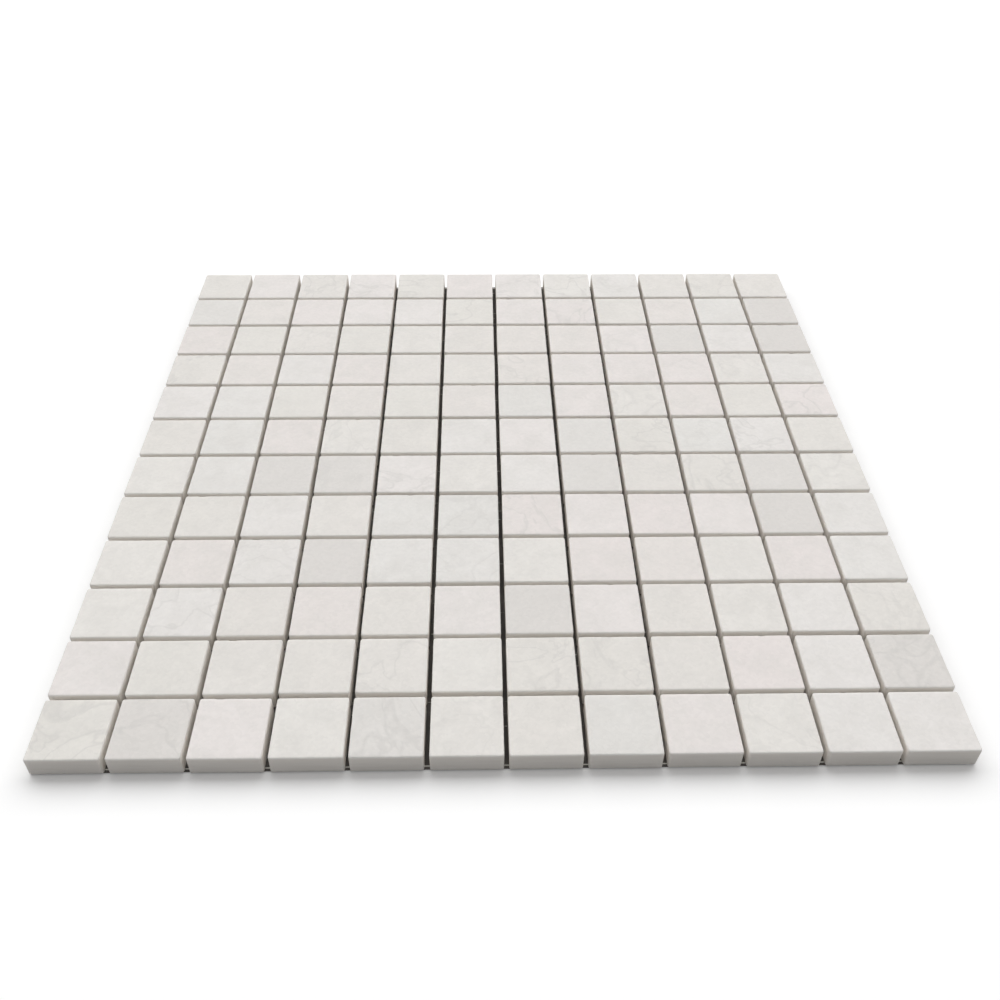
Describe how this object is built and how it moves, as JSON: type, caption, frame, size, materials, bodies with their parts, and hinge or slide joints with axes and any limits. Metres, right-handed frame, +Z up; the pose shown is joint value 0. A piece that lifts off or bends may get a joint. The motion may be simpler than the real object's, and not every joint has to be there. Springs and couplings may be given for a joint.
{
  "type": "mosaic tile sheet",
  "caption": "Square sheet of small honed white marble tiles in a straight grid with open joints, held by a glass-fibre net on the back, for facing floors and walls.",
  "frame": {"origin": "centre of the underside, on the back of the net", "axes": "+Z up out of the tiles' faces, +X and +Y along the two directions of joints, -Y towards the edge that is nearest in the picture"},
  "size_m": [0.3032, 0.3032, 0.008],
  "materials": {
    "tile_stone": "honed",
    "net_thread": "coated glass-fibre thread"
  },
  "bodies": {
    "root": {"tile_row_01": "tile_stone", "tile_row_02": "tile_stone", "tile_row_03": "tile_stone", "tile_row_04": "tile_stone", "tile_row_05": "tile_stone", "tile_row_06": "tile_stone", "tile_row_07": "tile_stone", "tile_row_08": "tile_stone", "tile_row_09": "tile_stone", "tile_row_10": "tile_stone", "tile_row_11": "tile_stone", "tile_row_12": "tile_stone", "net_panel_1_1": "net_thread", "net_panel_1_2": "net_thread", "net_panel_1_3": "net_thread", "net_panel_2_1": "net_thread", "net_panel_2_2": "net_thread", "net_panel_2_3": "net_thread", "net_panel_3_1": "net_thread", "net_panel_3_2": "net_thread", "net_panel_3_3": "net_thread"}
  },
  "joints": []
}
